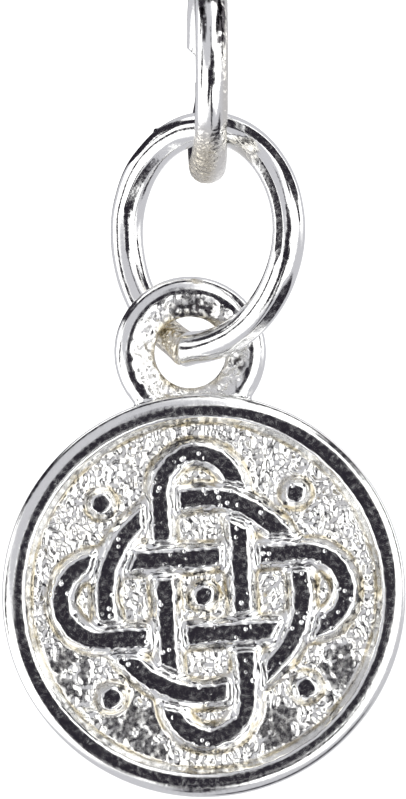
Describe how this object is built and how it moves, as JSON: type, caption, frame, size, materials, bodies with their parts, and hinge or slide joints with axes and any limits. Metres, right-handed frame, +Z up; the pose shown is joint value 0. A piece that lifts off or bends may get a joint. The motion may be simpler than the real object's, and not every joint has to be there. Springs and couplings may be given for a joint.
{
  "type": "charm pendant",
  "caption": "Round cast silver charm with a raised interlaced knot, an eye, its jump ring and the hanger ring that it hangs from.",
  "frame": {"origin": "top of the hanger ring's opening, where a chain or hook carries the pendant", "axes": "+Z up, -Y towards the viewer of the charm's face, +X to the viewer's right"},
  "size_m": [0.01, 0.0056, 0.021],
  "materials": {
    "cast_silver": "sterling silver, sand cast with a grained field, polished on its raised parts",
    "silver_wire": "sterling silver round wire, polished"
  },
  "bodies": {
    "hanger": {"hanger_ring": "silver_wire"},
    "ring": {"jump_ring": "silver_wire"},
    "charm": {"medallion": "cast_silver"}
  },
  "joints": [
    {"name": "ring_swing", "type": "hinge", "parent": "hanger", "child": "ring", "pos_m": [0, 0, -0.00441], "axis": [-0.0471, 0.9989, 0], "range_deg": [-60, 60]},
    {"name": "charm_swing", "type": "hinge", "parent": "ring", "child": "charm", "pos_m": [-0.00043, 0.00028, -0.00913], "axis": [0, 1, 0], "range_deg": [-45, 60]}
  ]
}
